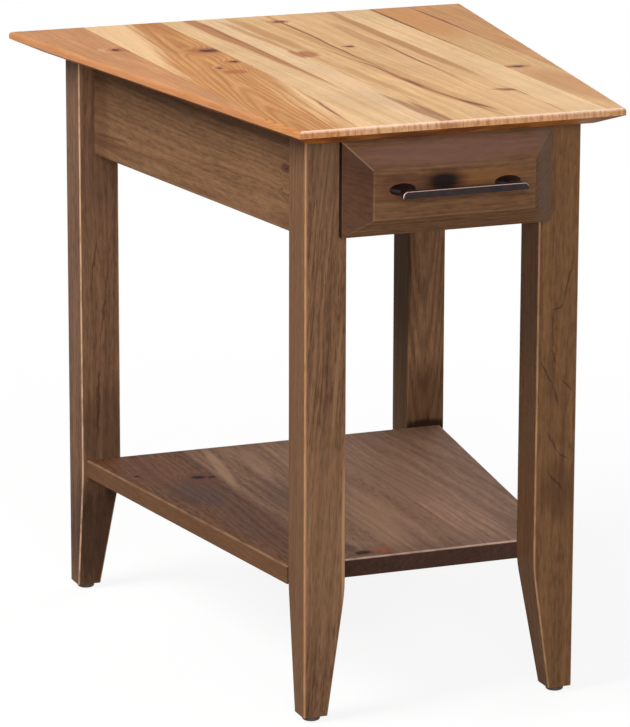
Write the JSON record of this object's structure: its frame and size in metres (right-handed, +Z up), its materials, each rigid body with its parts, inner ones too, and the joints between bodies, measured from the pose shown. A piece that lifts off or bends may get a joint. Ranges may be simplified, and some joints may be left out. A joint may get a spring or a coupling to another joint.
{
  "type": "end table",
  "caption": "Wedge-shaped end table with tapered legs, a lower shelf and a drawer behind a thick raised front with a bar pull.",
  "frame": {"origin": "on the floor under the middle of the table's overall box, pull included", "axes": "+X to the right of a person facing the drawer, +Y from the drawer end to the wide back, +Z up"},
  "size_m": [0.524, 0.6244, 0.61],
  "materials": {
    "natural_hickory": "clear satin lacquer over natural hickory",
    "stained_hickory": "brown-grey stain under satin lacquer, arrises rubbed through",
    "drawer_maple": "clear sealed maple",
    "beech_dowel": "unfinished beech",
    "rubbed_bronze": "dark oil-rubbed bronze with copper edges",
    "zinc_steel": "bright zinc plate",
    "bearing_steel": "polished steel balls",
    "glide_nylon": "dark brown nylon",
    "clear_bumper": "soft clear polyurethane"
  },
  "bodies": {
    "table": {"apron_back": "stained_hickory", "apron_left": "stained_hickory", "apron_right": "stained_hickory", "clip_screws": "zinc_steel", "glide_back_left": "glide_nylon", "glide_back_right": "glide_nylon", "glide_front_left": "glide_nylon", "glide_front_right": "glide_nylon", "glue_block_left": "drawer_maple", "glue_block_right": "drawer_maple", "hanger_left": "drawer_maple", "hanger_right": "drawer_maple", "leg_back_left": "stained_hickory", "leg_back_right": "stained_hickory", "leg_front_left": "stained_hickory", "leg_front_right": "stained_hickory", "rail_lower": "stained_hickory", "rail_screws": "zinc_steel", "rail_upper": "stained_hickory", "shelf_board_1": "stained_hickory", "shelf_board_2": "stained_hickory", "shelf_board_3": "stained_hickory", "shelf_board_4": "stained_hickory", "shelf_dowels": "beech_dowel", "slide_outer_left": "zinc_steel", "slide_outer_right": "zinc_steel", "top_board_1": "natural_hickory", "top_board_2": "natural_hickory", "top_board_3": "natural_hickory", "top_board_4": "natural_hickory", "top_board_5": "natural_hickory", "top_board_6": "natural_hickory", "top_board_7": "natural_hickory", "top_board_8": "natural_hickory", "top_board_9": "natural_hickory", "top_clips": "zinc_steel"},
    "slide_middles": {"slide_middle_left": "zinc_steel", "slide_middle_right": "zinc_steel"},
    "cages_outer": {"balls_outer": "bearing_steel", "cage_outer_left": "zinc_steel", "cage_outer_right": "zinc_steel"},
    "cages_inner": {"balls_inner": "bearing_steel", "cage_inner_left": "zinc_steel", "cage_inner_right": "zinc_steel"},
    "drawer": {"bumpers": "clear_bumper", "drawer_back": "drawer_maple", "drawer_bottom": "drawer_maple", "drawer_front": "stained_hickory", "drawer_side_left": "drawer_maple", "drawer_side_right": "drawer_maple", "drawer_subfront": "drawer_maple", "front_screws": "zinc_steel", "pull": "rubbed_bronze", "pull_screws": "zinc_steel", "slide_inner_left": "zinc_steel", "slide_inner_right": "zinc_steel"}
  },
  "joints": [
    {"name": "drawer_slide", "type": "slide", "parent": "table", "child": "drawer", "axis": [0, -1, 0], "range_m": [0, 0.38]},
    {"name": "middle_slide", "type": "slide", "parent": "table", "child": "slide_middles", "axis": [0, -1, 0], "range_m": [0, 0.19]},
    {"name": "outer_cage_roll", "type": "slide", "parent": "table", "child": "cages_outer", "axis": [0, -1, 0], "range_m": [0, 0.095]},
    {"name": "inner_cage_roll", "type": "slide", "parent": "table", "child": "cages_inner", "axis": [0, -1, 0], "range_m": [0, 0.285]}
  ],
  "couplings": [
    {"joint": "middle_slide", "follows": "drawer_slide", "ratio": 0.5},
    {"joint": "outer_cage_roll", "follows": "drawer_slide", "ratio": 0.25},
    {"joint": "inner_cage_roll", "follows": "drawer_slide", "ratio": 0.75}
  ]
}
